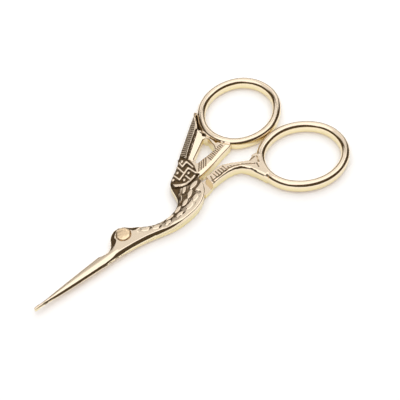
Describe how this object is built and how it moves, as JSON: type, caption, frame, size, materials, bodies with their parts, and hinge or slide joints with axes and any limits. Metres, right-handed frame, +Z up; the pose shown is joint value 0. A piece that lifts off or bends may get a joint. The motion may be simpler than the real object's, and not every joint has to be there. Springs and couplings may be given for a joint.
{
  "type": "embroidery scissors",
  "caption": "Small gold-plated embroidery scissors shaped as a wading bird: the beak is the blades, body, wing and legs lead to oval finger rings, and a round screw is the eye.",
  "frame": {"origin": "centre of the bounding box's bottom face, on the surface that the shut pair lies on", "axes": "+X from the point of the beak to the finger rings, +Y to the front half's ring, +Z up out of the front half's face, along the pivot screw"},
  "size_m": [0.0938, 0.0452, 0.0033],
  "materials": {
    "gold_plate": "polished pale gold plating over steel, darker in the recesses of the relief",
    "screw_gold": "polished gold plating over steel, slightly rosier than the halves"
  },
  "bodies": {
    "rear": {"rear_half": "gold_plate", "pivot_screw": "screw_gold"},
    "front": {"front_half": "gold_plate"}
  },
  "joints": [
    {"name": "blade_pivot", "type": "hinge", "parent": "rear", "child": "front", "pos_m": [-0.01798, 0.0015, 0.00165], "axis": [0, 0, 1], "range_deg": [0, 80]}
  ]
}
